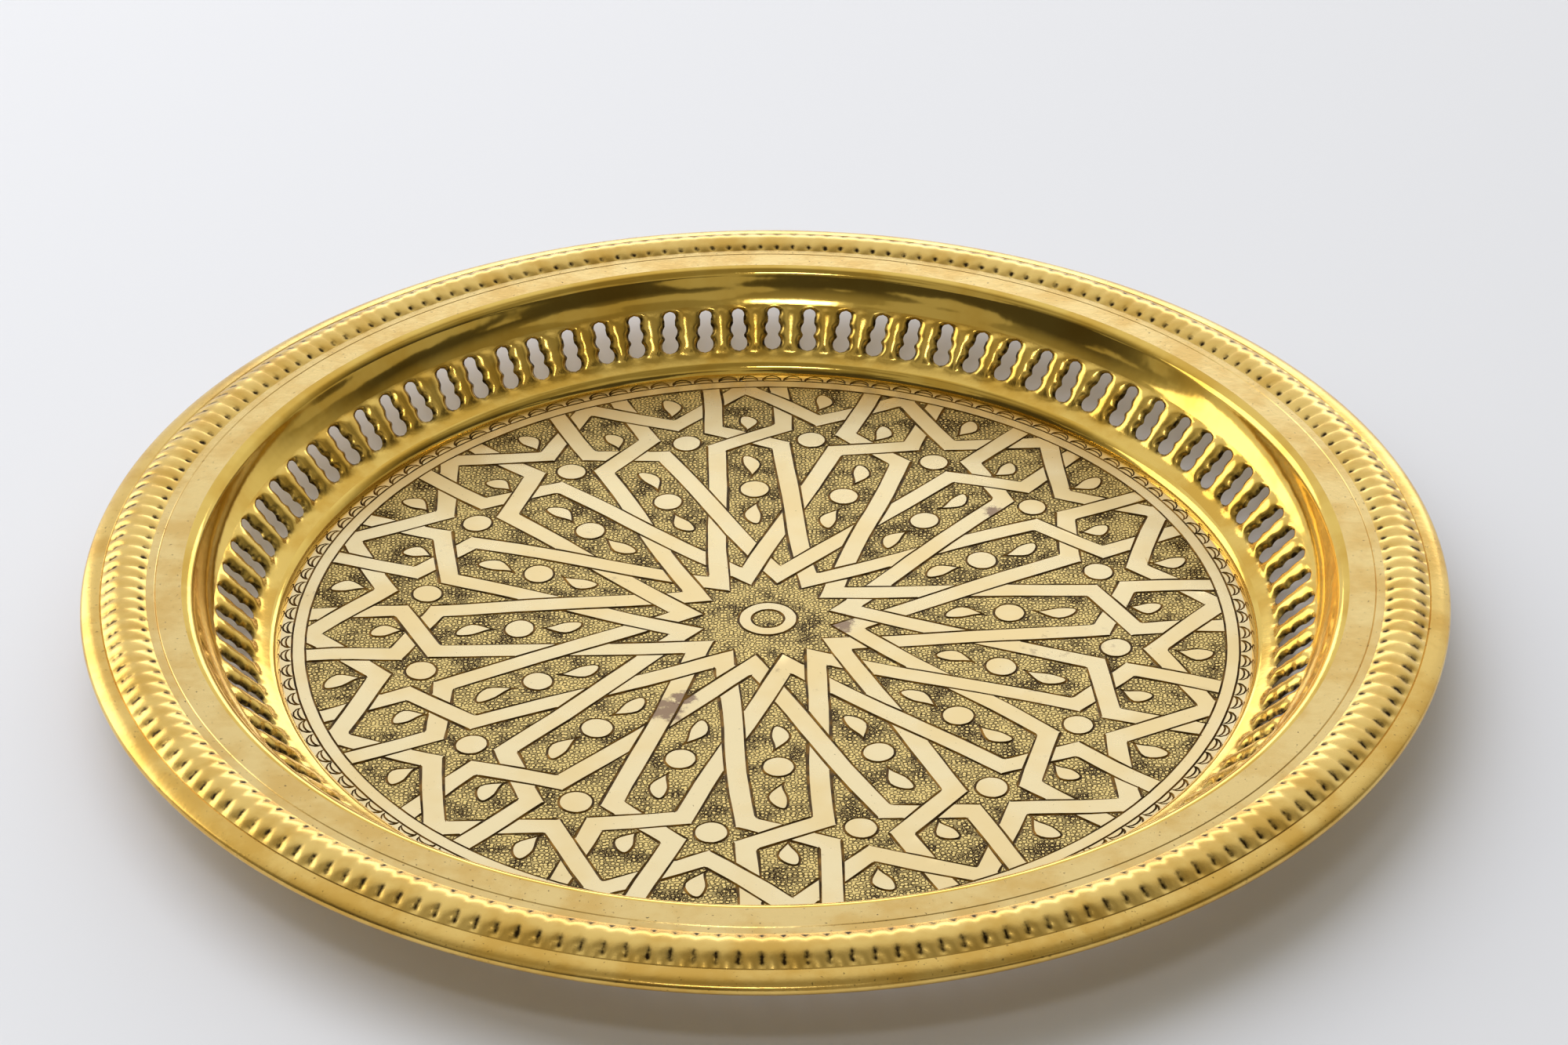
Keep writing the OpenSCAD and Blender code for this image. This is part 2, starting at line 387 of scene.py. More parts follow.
def closed_ring(name, grid, patina):
    """A ring from grid[turn][outline point], closed both ways round."""
    turns, around = grid.shape[:2]
    faces = []
    for i in range(turns):
        j = (i + 1) % turns
        for k in range(around):
            m = (k + 1) % around
            faces.append((i * around + k, j * around + k, j * around + m, i * around + m))
    return wrap_mesh(name, grid.reshape(-1, 3), faces, patina.reshape(-1))


def finish_by_hand(piece, angle, merge=1e-6):
    """Merges doubles, turns the faces outwards and smooths all but the sharp edges."""
    clear_selection()
    piece.select_set(True)
    bpy.context.view_layer.objects.active = piece
    bpy.ops.object.mode_set(mode="EDIT")
    bpy.ops.mesh.select_all(action="SELECT")
    bpy.ops.mesh.remove_doubles(threshold=merge)
    bpy.ops.mesh.normals_make_consistent(inside=False)
    bpy.ops.object.mode_set(mode="OBJECT")
    bpy.ops.object.shade_smooth_by_angle(angle=math.radians(angle))
    return piece


def crisp_where_finishes_meet(piece):
    """Marks sharp every edge between two finishes, so that flat metal isn't shaded by a cut beside it."""
    mesh = piece.data
    finish_of, sharp = {}, np.zeros(len(mesh.edges), bool)
    for face in mesh.polygons:
        for key in face.edge_keys:
            finish_of.setdefault(key, set()).add(face.material_index)
    for edge in mesh.edges:
        sharp[edge.index] = edge.use_edge_sharp or len(finish_of[edge.key]) > 1
    mesh.edges.foreach_set("use_edge_sharp", sharp)


# ---------------------------------------------------------------- turned zones of the sheet
def make_step():
    top = curve((FLOOR_R, SHEET), STEP_ANGLE, (GALLERY_R, STEP_Z), LEDGE_ANGLE, 16)
    return lathe("step_ring", sheet_outline(top, (1, 0), direction(LEDGE_ANGLE)))


def make_cove():
    top = curve((COVE_R, GALLERY_Z), GALLERY_ANGLE, (LIP_R, COVE_Z), COVE_ANGLE, 14)
    top += curve((LIP_R, COVE_Z), COVE_ANGLE, (FLANGE_R, FLANGE_Z), 0, 16)[1:]
    return lathe("cove_and_lip_ring", sheet_outline(top, direction(GALLERY_ANGLE), (1, 0)))


def vee(r, z, width, depth):
    """An engraved line across the outline, at radius r."""
    return [np.array(p) for p in ((r - width / 2, z), (r, z - depth), (r + width / 2, z))]


def make_flange():
    ends = [np.array((FLANGE_R, FLANGE_Z)), np.array((BAND_R, FLANGE_Z))]
    line = vee(BAND_R - LINE_INSET, FLANGE_Z, LINE_W, LINE_DEPTH)
    under = set_back(ends, (1, 0), direction(BAND_TILT + BAND_FOOT_ANGLE))
    return lathe("plain_flange_ring", [ends[0]] + line + [ends[1]] + under[::-1])


def make_edge():
    roll = np.array((EDGE_X, EDGE_Z))

    def round_wire(radius, angle):
        return roll + radius * np.array((math.sin(math.radians(angle)), math.cos(math.radians(angle))))

    top = curve((MARGIN_R, MARGIN_Z), MARGIN_ANGLE, round_wire(EDGE_R, ROLL_START), -ROLL_START, 12)
    under = set_back(top, direction(BAND_TILT - BAND_FOOT_ANGLE), direction(-ROLL_START))
    steps = 36
    angles = [ROLL_START + ROLL_ANGLE * i / steps for i in range(1, steps + 1)]
    outer = [round_wire(EDGE_R, a) for a in angles]
    inner = [round_wire(WIRE_R, a) for a in reversed(angles)]
    # A small crease where the margin meets the band.
    crease = [top[0], top[0] + np.array((0.22, -0.26)), top[0] + np.array((0.5, -0.03))]
    return lathe("rolled_edge_ring", crease + top[2:] + outer + inner + under[::-1], steps=480)


# ---------------------------------------------------------------- fluted band
# Depth of the valleys over the crown, what both feet add to it, and what the outer foot adds again.
CROWN_DEPTH, FOOT_DEPTH, OUTER_DEPTH = 0.14, 0.42, 0.44
# The sheet's underside follows a valley by this share of its depth.
UNDERSIDE_SHARE = 0.8


def make_band():
    """The half-round, pressed into plump lobes with a valley between each two."""
    rows, columns = 18, 6
    top = np.array(half_round((BAND_R, FLANGE_Z), (MARGIN_R, MARGIN_Z), BAND_H, rows))
    under = np.array(set_back(list(top), (1, 0), direction(MARGIN_ANGLE)))
    along = np.gradient(top, axis=0)
    normal = np.stack([-along[:, 1], along[:, 0]], 1)
    normal /= np.linalg.norm(normal, axis=1)[:, None]
    s = np.linspace(0, 1, rows + 1)
    # Deep at both feet of the band, deepest at the outer one, and shallow over its crown.
    depth = CROWN_DEPTH + (FOOT_DEPTH + OUTER_DEPTH * s) * np.abs(2 * s - 1) ** 1.3
    depth = depth * smooth(s, 0.02, 0.09) * smooth(1 - s, 0.02, 0.09)
    turns = FLUTE_COUNT * columns
    theta = np.arange(turns) / turns * math.tau
    valley = np.abs(2 * ((np.arange(turns) / columns) % 1.0) - 1)
    sunk = valley[:, None] ** (2.8 - 1.3 * s)[None, :] * depth[None, :]
    top_rz = top[None, :, :] - sunk[:, :, None] * normal[None, :, :]
    every = slice(None, None, 3)
    under_sunk = UNDERSIDE_SHARE * sunk[:, ::-1][:, every]
    under_rz = under[::-1][every][None, :, :] - under_sunk[:, :, None] * normal[::-1][every][None, :, :]
    outline = np.concatenate([top_rz, under_rz], 1)
    grid = np.stack([outline[:, :, 0] * np.cos(theta)[:, None], outline[:, :, 0] * np.sin(theta)[:, None],
                     outline[:, :, 1]], 2)
    # Painted shade darkens the two ends of each valley.
    dark = np.zeros(grid.shape[:2])
    inner_foot = smooth(s, 0.02, 0.07) * (1 - smooth(s, 0.12, 0.26))
    outer_foot = smooth(s, 0.52, 0.74) * (1 - smooth(s, 0.9, 0.99))
    dark[:, :rows + 1] = valley[:, None] ** 1.8 * (1.0 * inner_foot + 0.85 * outer_foot)[None, :]
    return finish_by_hand(closed_ring("fluted_band_ring", grid, dark), 60)


# ---------------------------------------------------------------- pierced gallery
# Each lobe's radius and its place, from the slot's lower end at -1 to its upper end at 1.
SLOT_LOBES = ((2.75, -1.0), (2.5, 0.06), (1.95, 1.0))
WAIST_HALF = 1.7
# A bar's rise above its own sides, and how far those sides and a slot's two ends are driven down.
BAR_RISE, SIDE_DROP, END_DROP = 1.75, 0.75, 0.45
# Length of slope taken up by the turn from the ledge, and half the length that a slope is read over.
TURN_REACH, SLOPE_SPAN = 2.4, 0.3


def slot_half_width(y):
    """Half the slot's width at distance y up the slope from its middle: three lobes and their waists."""
    half = SLOT_L / 2
    width = np.where(np.abs(y) < half - SLOT_LOBES[-1][0], WAIST_HALF, 0.0)
    for radius, place_at in SLOT_LOBES:
        centre = place_at * (half - radius)
        width = np.maximum(width, np.sqrt(np.maximum(radius ** 2 - (y - centre) ** 2, 0)))
    return width


def gallery_profile():
    """The gallery's upper face: a shallow ledge that turns up smoothly into the straight slope."""
    heading = np.array(direction(GALLERY_ANGLE))
    turn_end = np.array((LEDGE_R, LEDGE_Z)) + TURN_REACH * heading
    points = curve((GALLERY_R, STEP_Z), LEDGE_ANGLE, turn_end, GALLERY_ANGLE, 24)
    return np.array(points + [np.array((COVE_R, GALLERY_Z))])


def make_gallery():
    """One slot and the metal bossed up round it, repeated round the gallery, then given its thickness."""
    profile = gallery_profile()
    along = np.concatenate([[0], np.cumsum(np.linalg.norm(np.diff(profile, axis=0), axis=1))])
    top_edge = math.hypot(COVE_R - LEDGE_R, GALLERY_Z - LEDGE_Z) / 2
    foot = along[-1] - top_edge
    pitch = math.tau * (GALLERY_R + COVE_R) / 2 / SLOT_COUNT
    reach = SLOT_L / 2
    rings, half, corner = 8, 13, 10
    # Up the right side of the slot from its lower tip to its upper one, then back down the left.
    t = np.concatenate([np.arange(-half, half + 1), np.arange(half - 1, -half, -1)]) / half
    side = np.concatenate([np.ones(2 * half + 1), -np.ones(2 * half - 1)])
    y0 = reach * (0.8 * t + 0.2 * np.sin(t * math.pi / 2))
    hole = np.stack([side * slot_half_width(y0), y0], 1)
    past = np.clip((np.abs(t) - corner / half) / (1 - corner / half), 0, 1)
    level = np.clip(t * half / corner, -1, 1)
    border = np.stack([side * (1 - past) * pitch / 2, np.where(level > 0, level * top_edge, level * foot)], 1)
    share = (np.arange(rings + 1) / rings) ** 1.25
    flat = hole[None] + share[:, None, None] * (border - hole)[None]
    x, y = flat[..., 0], flat[..., 1]
    half_width = slot_half_width(np.clip(y, -reach, reach))
    inside = smooth(y, -reach - 1.6, -reach + 1.6) * smooth(-y, -reach - 1.1, -reach + 2.0)
    e = np.clip((np.abs(x) - half_width) / (pitch / 2 - half_width), 0, 1)
    # The bars between the slots stand up round, and their sides are driven down into the slots.
    bar = BAR_RISE * (1 - (1 - e) ** 2.3) - SIDE_DROP
    rim = 1 - smooth(share[:, None], 0.0, 0.45)
    lift = inside * bar - END_DROP * rim * (1 - inside)
    lift *= smooth(top_edge - y, 0.0, 0.7) * smooth(y + foot, 0.0, 1.5)
    # Painted shade: the metal is darker near each slot's edge, most beside the slot's sides, less past its
    # ends.
    dark = (0.4 + 0.35 * inside) * (1 - smooth(share[:, None], 0.1, 0.5))
    draw = random.Random(SEED)
    rays = len(t)
    unit_faces = []
    for i in range(rings):
        for k in range(rays):
            here, beside = i * rays + k, i * rays + (k + 1) % rays
            unit_faces.append((here, beside, beside + rays, here + rays))
    points, faces, darkness = [], [], []

    def on_profile(up):
        return np.interp(up, along, profile[:, 0]), np.interp(up, along, profile[:, 1])

    # A slot's own small shifts fade out before they reach its neighbours.
    free = smooth(1 - share, 0.0, 0.7)[:, None]
    for copy in range(SLOT_COUNT):
        # Each slot is cut by eye: its place, height and lean are a little off the even division.
        lean = draw.uniform(-0.07, 0.03)
        shift = draw.uniform(-0.025, 0.025)
        up = y + free * draw.uniform(-0.3, 0.3) + foot
        base_r, base_z = on_profile(up)
        ahead_r, ahead_z = on_profile(up + SLOPE_SPAN)
        behind_r, behind_z = on_profile(up - SLOPE_SPAN)
        slope = np.arctan2(ahead_z - behind_z, ahead_r - behind_r)
        r = base_r - lift * np.sin(slope)
        z = base_z + lift * np.cos(slope)
        theta = math.tau * (copy + x / pitch + free * (shift + lean * y / reach)) / SLOT_COUNT
        base = copy * flat.shape[0] * rays
        points.append(np.stack([r * np.cos(theta), r * np.sin(theta), z], 2).reshape(-1, 3))
        darkness.append(dark.reshape(-1))
        faces += [tuple(base + v for v in face) for face in unit_faces]
    piece = wrap_mesh("pierced_gallery_ring", np.concatenate(points), faces, np.concatenate(darkness))
    finish_by_hand(piece, 60, 2e-5)
    if piece.data.polygons[0].normal.z < 0:
        bpy.ops.object.mode_set(mode="EDIT")
        bpy.ops.mesh.select_all(action="SELECT")
        bpy.ops.mesh.flip_normals()
        bpy.ops.object.mode_set(mode="OBJECT")
    sheet = piece.modifiers.new("sheet", "SOLIDIFY")
    sheet.thickness = SHEET * MM
    sheet.offset = -1
    bpy.ops.object.modifier_apply(modifier="sheet")
    bpy.ops.object.shade_smooth_by_angle(angle=math.radians(50))
    return piece


# ---------------------------------------------------------------- engraved floor
PETALS = 16
PITCH = math.tau / PETALS
FIRST_AXIS = math.radians(2.9)
STRAP_HALF = 3.2
CUT_HALF, CUT_DEPTH, GROUND_DEPTH = 0.38, 0.3, 0.15
# One strap from the star's heart to the ring: distance along its petal's axis, and across it.
STRAP = ((20.2, 13.5), (99.0, 10.7), (109.7, -11.3), (141.0, -10.9))
VALLEY_R, PEAK_R = 116.6, 136.4
HEART_OUT, HEART_IN = 8.8, 4.8
# Round bosses: turn from the petal's axis, in petals, and radius of their place.
BOSS_R = 4.7
BOSSES = ((0.0, 73.4), (0.5, 104.5))
# Drops: turn in petals, radius of their place, length, width, and which way they point.
DROPS = ((0.0, 60.4, 12.9, 5.9, 0.0), (0.0, 86.8, 12.9, 5.9, math.pi),
         (0.0, 113.4, 10.6, 6.2, math.pi), (0.5, 127.4, 11.8, 6.4, math.pi))
# Crescents: half their width as a share of the spacing, and the heights of their two arcs.
CRESCENT_HALF, CRESCENT_RISES = 0.43, (3.1, 1.7)
# Length over which a cut narrows to its point, and how far it runs past the line's end.
TIP, OVERSHOOT = 1.1, 0.5
# How far the floor's underside reaches out past its upper face, to meet the step's.
UNDERSIDE_REACH = 0.65


def turned(point, angle):
    c, s = math.cos(angle), math.sin(angle)
    return np.array([c * point[0] - s * point[1], s * point[0] + c * point[1]])


class Strap:
    """A flat strap along a zigzag of points, with its two edges mitred at each corner."""

    def __init__(self, points, closed=False):
        self.points = [np.array(p) for p in points]
        count = len(self.points)
        self.legs = count if closed else count - 1
        sides = []
        for i in range(count):
            before = self.points[i] - self.points[i - 1] if closed or i else self.points[1] - self.points[0]
            j = (i + 1) % count
            after = self.points[j] - self.points[i] if closed or i < count - 1 else before
            d0, d1 = before / np.linalg.norm(before), after / np.linalg.norm(after)
            n0, n1 = np.array([-d0[1], d0[0]]), np.array([-d1[1], d1[0]])
            n = (n0 + n1) / np.linalg.norm(n0 + n1)
            sides.append(n / n.dot(n1) * STRAP_HALF)
        self.left = [p + s for p, s in zip(self.points, sides)]
        self.right = [p - s for p, s in zip(self.points, sides)]

    def quad(self, leg):
        j = (leg + 1) % len(self.points)
        return np.array([self.left[leg], self.left[j], self.right[j], self.right[leg]])


def hidden_part(start, end, quad):
    """The part of 0..1 along start-end that lies inside a convex quad, or None."""
    low, high = 0.0, 1.0
    turn = np.sign(np.cross(quad[1] - quad[0], quad[2] - quad[1]))
    for i in range(4):
        a, b = quad[i], quad[(i + 1) % 4]
        edge = b - a
        f0 = turn * (edge[0] * (start - a)[1] - edge[1] * (start - a)[0])
        f1 = turn * (edge[0] * (end - a)[1] - edge[1] * (end - a)[0])
        if f0 < 0 and f1 < 0:
            return None
        if f0 < 0 or f1 < 0:
            t = f0 / (f0 - f1)
            if f0 < 0:
                low = max(low, t)
            else:
                high = min(high, t)
    return (low, high) if high - low > 1e-3 else None


def inside_quads(points, quads):
    hit = np.zeros(len(points), bool)
    for quad in quads:
        turn = np.sign(np.cross(quad[1] - quad[0], quad[2] - quad[1]))
        within = np.ones(len(points), bool)
        for i in range(4):
            a, edge = quad[i], quad[(i + 1) % 4] - quad[i]
            within &= turn * (edge[0] * (points[:, 1] - a[1]) - edge[1] * (points[:, 0] - a[0])) > 0
        hit |= within
    return hit


def inside_outline(points, outline):
    """Even-odd test of points against one closed outline."""
    hit = np.zeros(len(points), bool)
    for a, b in zip(outline, np.roll(outline, -1, axis=0)):
        crosses = (a[1] > points[:, 1]) != (b[1] > points[:, 1])
        if crosses.any():
            x = a[0] + (points[:, 1] - a[1]) / (b[1] - a[1] + 1e-12) * (b[0] - a[0])
            hit ^= crosses & (points[:, 0] < x)
    return hit


def floor_straps(draw):
    """Sixteen long straps that cross over and under, and one zigzag round the ring."""
    def shaky(point, angle, amount=0.45):
        return turned(point, angle) + np.array([draw.uniform(-amount, amount), draw.uniform(-amount, amount)])

    long_straps = []
    for k in range(PETALS):
        angle = FIRST_AXIS + k * PITCH
        right = [shaky(p, angle) for p in STRAP]
        left = [shaky((u, -v), angle + 3 * PITCH) for u, v in STRAP]
        heart = shaky(STRAP[0], angle, 0.2)
        long_straps.append(Strap([right[3], right[2], right[1], heart, left[1], left[2], left[3]]))
    zigzag = []
    for k in range(PETALS):
        angle = FIRST_AXIS + k * PITCH
        zigzag.append(shaky((PEAK_R, 0), angle, 0.3))
        zigzag.append(shaky((VALLEY_R, 0), angle + PITCH / 2))
    return long_straps, Strap(zigzag, closed=True)


def drop_outline(centre, angle, length, width, curl, count=22):
    """A curled drop: its point towards the given angle, its fat end the other way."""
    outline = []
    for i in range(count):
        t = math.tau * i / count
        x = math.cos(t)
        y = math.sin(t) * (1 - smooth(x, -0.35, 1.0)) ** 0.75
        bend = curl * (0.5 - x * x)
        outline.append(centre + turned((x * length / 2, y * width / 2 + bend), angle))
    return np.array(outline)


def ring_outline(centre, radius, count, draw, shake=0.06):
    wobble = [draw.uniform(-shake, shake) for _ in range(count)]
    return np.array([centre + turned((radius + w, 0), math.tau * i / count) for i, w in enumerate(wobble)])


def floor_design():
    """Strokes of the graver, plain islands, and the straps' legs as quads."""
    draw = random.Random(SEED)
    long_straps, zigzag = floor_straps(draw)
    strokes, islands = [], []

    def stroke(points):
        """One pushed cut, which runs a little past both its ends."""
        points = [np.array(p, float) for p in points]
        for end, nxt in ((0, 1), (-1, -2)):
            out = points[end] - points[nxt]
            out = out / max(np.linalg.norm(out), 1e-6)
            points[end] = points[end] + out * OVERSHOOT * draw.uniform(0.3, 1.5)
        strokes.append((points, CUT_HALF * draw.uniform(0.85, 1.2), True))

    def edge_lines(strap, leg, covers, ring):
        for side in (strap.left, strap.right):
            a, b = side[leg], side[(leg + 1) % len(side)]
            spans = [(0.0, 1.0)]
            hidden = [s for s in (hidden_part(a, b, q) for q in covers) if s]
            if ring:
                # The strap stops at the ring.
                t = np.linspace(0, 1, 400)
                radius = np.linalg.norm(a + t[:, None] * (b - a), axis=1)
                outside = t[radius > ring]
                if len(outside):
                    hidden.append((outside.min(), outside.max()))
            for low, high in hidden:
                split = [s for x, y in spans for s in ((x, min(y, low)), (max(x, high), y))]
                spans = [s for s in split if s[1] - s[0] > 1e-4]
            for low, high in spans:
                start, end = a + low * (b - a), a + high * (b - a)
                length = np.linalg.norm(end - start)
                if length < 1.2:
                    continue
                parts = max(2, int(length / 7))
                normal = np.array([-(end - start)[1], (end - start)[0]]) / length
                wave = [0] + [draw.uniform(-0.1, 0.1) for _ in range(parts - 1)] + [0]
                stroke([start + (end - start) * i / parts + normal * wave[i] for i in range(parts + 1)])

    quads = [s.quad(leg) for s in long_straps for leg in range(6)]
    quads += [zigzag.quad(leg) for leg in range(zigzag.legs)]
    for k, strap in enumerate(long_straps):
        def leg_of(index, leg):
            return long_straps[index % PETALS].quad(leg)
        # Legs 0, 1, 2 come down the right of petal k; legs 3, 4, 5 go back up the left of petal k + 3.
        covers = {leg: [] for leg in range(6)}
        covers[2].append(leg_of(k - 2, 3))
        covers[3].append(leg_of(k + 1, 2))
        covers[4].append(leg_of(k + 3, 1))
        covers[0] += [zigzag.quad((2 * k + i) % zigzag.legs) for i in range(-2, 3)]
        for leg in range(6):
            edge_lines(strap, leg, covers[leg], STAR_R)
    for leg in range(zigzag.legs):
        k = leg // 2
        covers = [long_straps[(k + i - 3) % PETALS].quad(5) for i in (-1, 0, 1, 2)]
        edge_lines(zigzag, leg, covers, STAR_R)

    for radius in (STAR_R, RING_R):
        strokes.append((list(ring_outline(np.zeros(2), radius, 240, draw, 0.05)), CUT_HALF * 0.85, False))
    for radius in (HEART_IN, HEART_OUT):
        strokes.append((list(ring_outline(np.zeros(2), radius, 32, draw)), CUT_HALF, False))
    islands.append(("ring", HEART_IN, HEART_OUT))
    for k in range(PETALS):
        axis = FIRST_AXIS + k * PITCH
        for share, radius in BOSSES:
            centre = turned((radius + draw.uniform(-0.4, 0.4), draw.uniform(-0.4, 0.4)), axis + share * PITCH)
            outline = ring_outline(centre, BOSS_R + draw.uniform(-0.15, 0.15), 26, draw)
            strokes.append((list(outline), CUT_HALF, False))
            islands.append(outline)
        for share, radius, length, width, turn in DROPS:
            angle = axis + share * PITCH
            centre = turned((radius + draw.uniform(-0.5, 0.5), draw.uniform(-0.5, 0.5)), angle)
            lean = angle + turn + draw.uniform(-0.14, 0.14)
            length *= draw.uniform(0.94, 1.05)
            outline = drop_outline(centre, lean, length, width, draw.uniform(1.1, 1.8))
            strokes.append((list(outline), CUT_HALF, False))
            islands.append(outline)
    for k in range(CRESCENT_COUNT):
        angle = math.tau * (k + draw.uniform(-0.08, 0.08)) / CRESCENT_COUNT
        half = CRESCENT_HALF * math.tau / CRESCENT_COUNT * RING_R
        for height in CRESCENT_RISES:
            arc = []
            for i in range(7):
                t = math.pi * i / 6
                arc.append(turned((RING_R + 0.15 + height * math.sin(t), -half * math.cos(t)), angle))
            strokes.append((arc, CUT_HALF * 0.8, True))
    return strokes, islands, quads


def warp(points):
    """The small wandering of work laid out and cut by eye."""
    x, y = points[:, 0], points[:, 1]
    fade = smooth(STAR_R - np.hypot(x, y), 0, 12) * 0.5
    out = points.copy()
    out[:, 0] += fade * (np.sin(x / 17 + 1.3) * np.cos(y / 23) + 0.6 * np.sin(y / 9.5 + 0.4))
    out[:, 1] += fade * (np.sin(y / 19 + 2.1) * np.cos(x / 21) + 0.6 * np.sin(x / 10.5 + 1.7))
    return out


def make_floor():
    """The floor's upper face with every engraved line cut in, closed by its side and its flat underside."""
    strokes, islands, quads = floor_design()
    vertices, edges = [], []
    seg_a, seg_b, seg_wa, seg_wb = [], [], [], []

    def path(points, closed):
        base = len(vertices)
        vertices.extend(points)
        count = len(points)
        edges.extend((base + i, base + (i + 1) % count) for i in range(count if closed else count - 1))

    for points, half, tapered in strokes:
        points = np.array(points)
        if tapered:
            # The cut starts and ends at a fine point.
            length = np.linalg.norm(points[1] - points[0])
            last = np.linalg.norm(points[-1] - points[-2])
            a = points[0] + (points[1] - points[0]) * min(0.5, TIP / length)
            b = points[-1] + (points[-2] - points[-1]) * min(0.5, TIP / last)
            points = np.concatenate([[points[0], a], points[1:-1], [b, points[-1]]])
            # Some cuts swell towards one end and some towards the other.
            swell = np.linspace(0.72, 1.28, len(points) - 2)
            if len(seg_a) % 2:
                swell = swell[::-1]
            widths = np.concatenate([[0.0], half * swell, [0.0]])
            tangent = np.gradient(points, axis=0)
        else:
            widths = np.full(len(points), half)
            tangent = np.roll(points, -1, axis=0) - np.roll(points, 1, axis=0)
        normal = np.stack([-tangent[:, 1], tangent[:, 0]], 1) / np.linalg.norm(tangent, axis=1)[:, None]
        left, right = points + normal * widths[:, None], points - normal * widths[:, None]
        path(points, not tapered)
        if tapered:
            path(np.concatenate([left, right[-2:0:-1]]), True)
        else:
            path(left, True)
            path(right, True)
        following = np.roll(points, -1, axis=0) if not tapered else points[1:]
        after = np.roll(widths, -1) if not tapered else widths[1:]
        for p, q, wp, wq in zip(points, following, widths, after):
            seg_a.append(p)
            seg_b.append(q)
            seg_wa.append(wp)
            seg_wb.append(wq)
    rim = 360
    outer = np.array([turned((FLOOR_R, 0), math.tau * i / rim) for i in range(rim)])
    path(outer, True)
    draw = random.Random(SEED + 1)
    step = 4.0
    reach = int(FLOOR_R / step) + 1
    for i in range(-reach, reach + 1):
        for j in range(-reach, reach + 1):
            p = np.array([(i + 0.5 * (j % 2) + draw.uniform(-0.25, 0.25)) * step,
                          (j * 0.87 + draw.uniform(-0.2, 0.2)) * step])
            if np.linalg.norm(p) < FLOOR_R - 1.0:
                vertices.append(p)
    made = delaunay_2d_cdt([Vector(v) for v in vertices], edges, [], 0, 0.02)
    points = np.array([tuple(v) for v in made[0]])
    faces = np.array([f for f in made[2] if len(f) == 3])
    centre = points[faces].mean(axis=1)
    keep = np.linalg.norm(centre, axis=1) < FLOOR_R * 0.99998
    faces, centre = faces[keep], centre[keep]

    a, b = np.array(seg_a), np.array(seg_b)
    wa, wb = np.array(seg_wa), np.array(seg_wb)

    def cut(where):
        """How deep each point lies in a stroke: 1 on its centre line, 0 at its edge or outside."""
        result = np.zeros(len(where))
        cell = 6.0
        boxes = {}
        for index, (p, q) in enumerate(zip(a, b)):
            low = np.floor((np.minimum(p, q) - 0.6) / cell).astype(int)
            high = np.floor((np.maximum(p, q) + 0.6) / cell).astype(int)
            for i in range(low[0], high[0] + 1):
                for j in range(low[1], high[1] + 1):
                    boxes.setdefault((i, j), []).append(index)
        cells = np.floor(where / cell).astype(int)
        order = np.lexsort((cells[:, 1], cells[:, 0]))
        start = 0
        while start < len(order):
            key = tuple(cells[order[start]])
            end = start
            while end < len(order) and tuple(cells[order[end]]) == key:
                end += 1
            near = boxes.get(key)
            if near:
                which = order[start:end]
                p, d = a[near], b[near] - a[near]
                rel = where[which][:, None, :] - p[None]
                t = np.clip((rel * d[None]).sum(2) / np.maximum((d * d).sum(1), 1e-9)[None], 0, 1)
                gap = np.linalg.norm(rel - t[..., None] * d[None], axis=2)
                width = wa[near][None] + t * (wb[near] - wa[near])[None]
                value = (1 - gap / np.maximum(width, 1e-4)) * np.minimum(width / CUT_HALF, 1.0)
                result[which] = np.maximum(value.max(axis=1), 0)
            start = end
        return result

    depth = cut(points)
    face_cut = cut(centre) > 0.04
    radius = np.linalg.norm(centre, axis=1)
    plain = inside_quads(centre, quads) | (radius > STAR_R)
    for island in islands:
        if isinstance(island, tuple):
            plain |= (radius > island[1]) & (radius < island[2])
        else:
            plain |= inside_outline(centre, island)
    kind = np.where(face_cut, 1, np.where(plain, 0, 2))

    # A point sinks with the ground only where no face about it is plain, so plain edges stay crisp.
    touches_plain = np.zeros(len(points), bool)
    touches_ground = np.zeros(len(points), bool)
    touches_plain[faces[kind == 0].ravel()] = True
    touches_ground[faces[kind == 2].ravel()] = True
    sunk = GROUND_DEPTH * (touches_ground & ~touches_plain)
    moved = warp(points)
    x, y = moved[:, 0], moved[:, 1]
    # The plate isn't dead flat: beating and scouring leave it gently dished from place to place.
    dip = 0.035 * (2 + np.sin(x / 13 + np.sin(y / 19) * 1.5) * np.cos(y / 15 + 1) + np.sin((x + y) / 29))
    dip *= smooth(FLOOR_R - np.hypot(x, y), 0, 12)
    top = np.column_stack([moved, SHEET - dip - np.maximum(CUT_DEPTH * depth, sunk)])

    rim_index = []
    for p in outer:
        rim_index.append(int(np.argmin(((points - p) ** 2).sum(1))))
    under_r = FLOOR_R + UNDERSIDE_REACH
    base = len(top)
    under = np.array([[under_r * p[0] / FLOOR_R, under_r * p[1] / FLOOR_R, 0.0] for p in outer])
    inner = np.array([[p[0] * share, p[1] * share, 0.0] for share in (0.66, 0.33) for p in outer[::4]])
    middle = np.array([[0.0, 0.0, 0.0]])
    all_points = np.concatenate([top, under, inner, middle])
    flat = delaunay_2d_cdt([Vector(p[:2]) for p in np.concatenate([under, inner, middle])],
                           [(i, (i + 1) % rim) for i in range(rim)], [], 0, 1e-4)
    back = [o[0] for o in flat[3]]
    face_list = [tuple(f) for f in faces]
    kinds = list(kind)
    for f in flat[2]:
        face_list.append(tuple(base + back[v] for v in reversed(f)))
        kinds.append(3)
    for i in range(rim):
        j = (i + 1) % rim
        face_list.append((rim_index[i], base + i, base + j, rim_index[j]))
        kinds.append(3)
    piece = wrap_mesh("engraved_floor_plate", all_points, face_list)
    piece.data.polygons.foreach_set("material_index", np.array(kinds, np.int32))
    finish_by_hand(piece, 20, 1e-7)
    crisp_where_finishes_meet(piece)
    return piece


